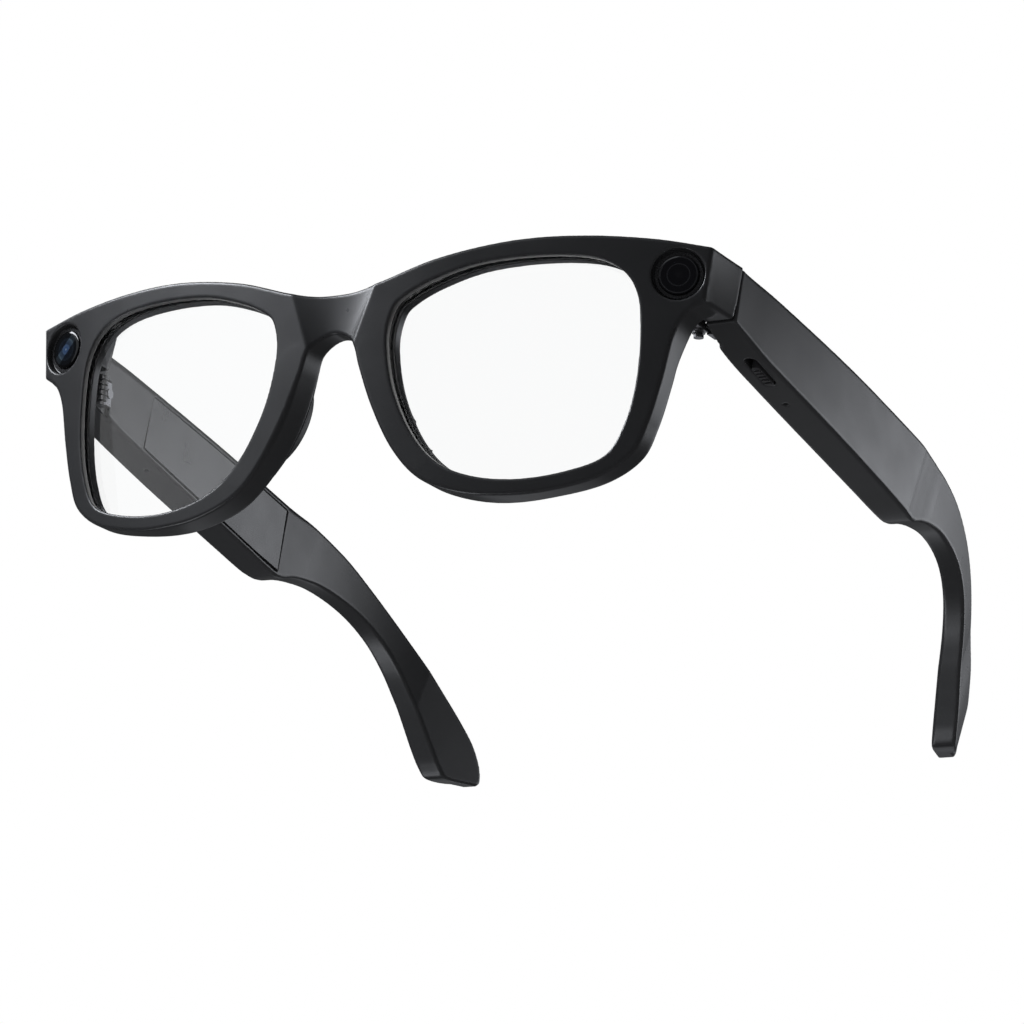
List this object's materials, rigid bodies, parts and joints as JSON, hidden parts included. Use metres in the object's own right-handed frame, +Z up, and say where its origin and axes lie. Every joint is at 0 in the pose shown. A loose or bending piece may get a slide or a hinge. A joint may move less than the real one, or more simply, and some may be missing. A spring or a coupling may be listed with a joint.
{
  "type": "smart glasses",
  "caption": "Camera glasses with a wrapped black front, clear lenses, round camera and light windows in the end pieces, and folding arms that hold the electronics.",
  "frame": {"origin": "bottom centre of the bounding box, on the surface that the rims and arm tips stand on", "axes": "-Y is the way the wearer looks, +X is the wearer's left, +Z is up"},
  "size_m": [0.151, 0.171, 0.0488],
  "materials": {
    "front_satin": "satin black, lightly polished",
    "arm_satin": "satin black",
    "clear_lens": "clear, polished",
    "dark_window": "dark tinted glass",
    "board": "circuit board",
    "cell_foil": "foil pouch",
    "film": "polyimide film",
    "bright_steel": "bright steel",
    "dark_plastic": "fine matt"
  },
  "bodies": {
    "front": {"brow_cover": "front_satin", "camera_lens": "dark_plastic", "camera_sensor": "board", "camera_window": "dark_window", "charge_contacts": "dark_plastic", "end_cover_left": "front_satin", "end_cover_right": "front_satin", "front_flex_cable": "film", "front_frame": "front_satin", "front_screw_left": "bright_steel", "front_screw_right": "bright_steel", "hinge_leaf_front_left": "bright_steel", "hinge_leaf_front_right": "bright_steel", "hinge_pin_left": "bright_steel", "hinge_pin_right": "bright_steel", "lens_left": "clear_lens", "lens_right": "clear_lens", "light_board": "board", "light_guide": "clear_lens", "light_window": "dark_window", "nose_pad_left": "front_satin", "nose_pad_right": "front_satin"},
    "arm_left": {"arm_cover_left": "arm_satin", "arm_flex_cable_left": "film", "arm_screw_left": "bright_steel", "arm_shell_left": "arm_satin", "battery_left": "cell_foil", "hinge_leaf_arm_left": "bright_steel", "microphone_left": "bright_steel", "power_board": "board", "slide_contact_board": "board", "speaker_left": "dark_plastic", "speaker_mesh_left": "bright_steel", "tip_core_left": "bright_steel"},
    "arm_right": {"arm_cover_right": "arm_satin", "arm_flex_cable_right": "film", "arm_screw_right": "bright_steel", "arm_shell_right": "arm_satin", "battery_right": "cell_foil", "capture_dome": "bright_steel", "capture_switch": "board", "hinge_leaf_arm_right": "bright_steel", "main_board": "board", "microphone_right": "bright_steel", "speaker_mesh_right": "bright_steel", "speaker_right": "dark_plastic", "tip_core_right": "bright_steel", "touch_sensor": "film"},
    "power_slide": {"power_slide": "dark_plastic"},
    "capture_button": {"capture_button": "dark_plastic"}
  },
  "joints": [
    {"name": "fold_left", "type": "hinge", "parent": "front", "child": "arm_left", "pos_m": [0.0642, -0.06218, 0.03482], "axis": [0, -0.1064, 0.9943], "range_deg": [0, 90]},
    {"name": "fold_right", "type": "hinge", "parent": "front", "child": "arm_right", "pos_m": [-0.0642, -0.06218, 0.03482], "axis": [0, 0.1064, -0.9943], "range_deg": [0, 75]},
    {"name": "power_slide", "type": "slide", "parent": "arm_left", "child": "power_slide", "axis": [-0.0396, -0.993, 0.1117], "range_m": [0, 0.0024]},
    {"name": "capture_press", "type": "slide", "parent": "arm_right", "child": "capture_button", "axis": [0, -0.0284, -0.9996], "range_m": [0, 0.0005], "stiffness_N_per_m": 200}
  ]
}
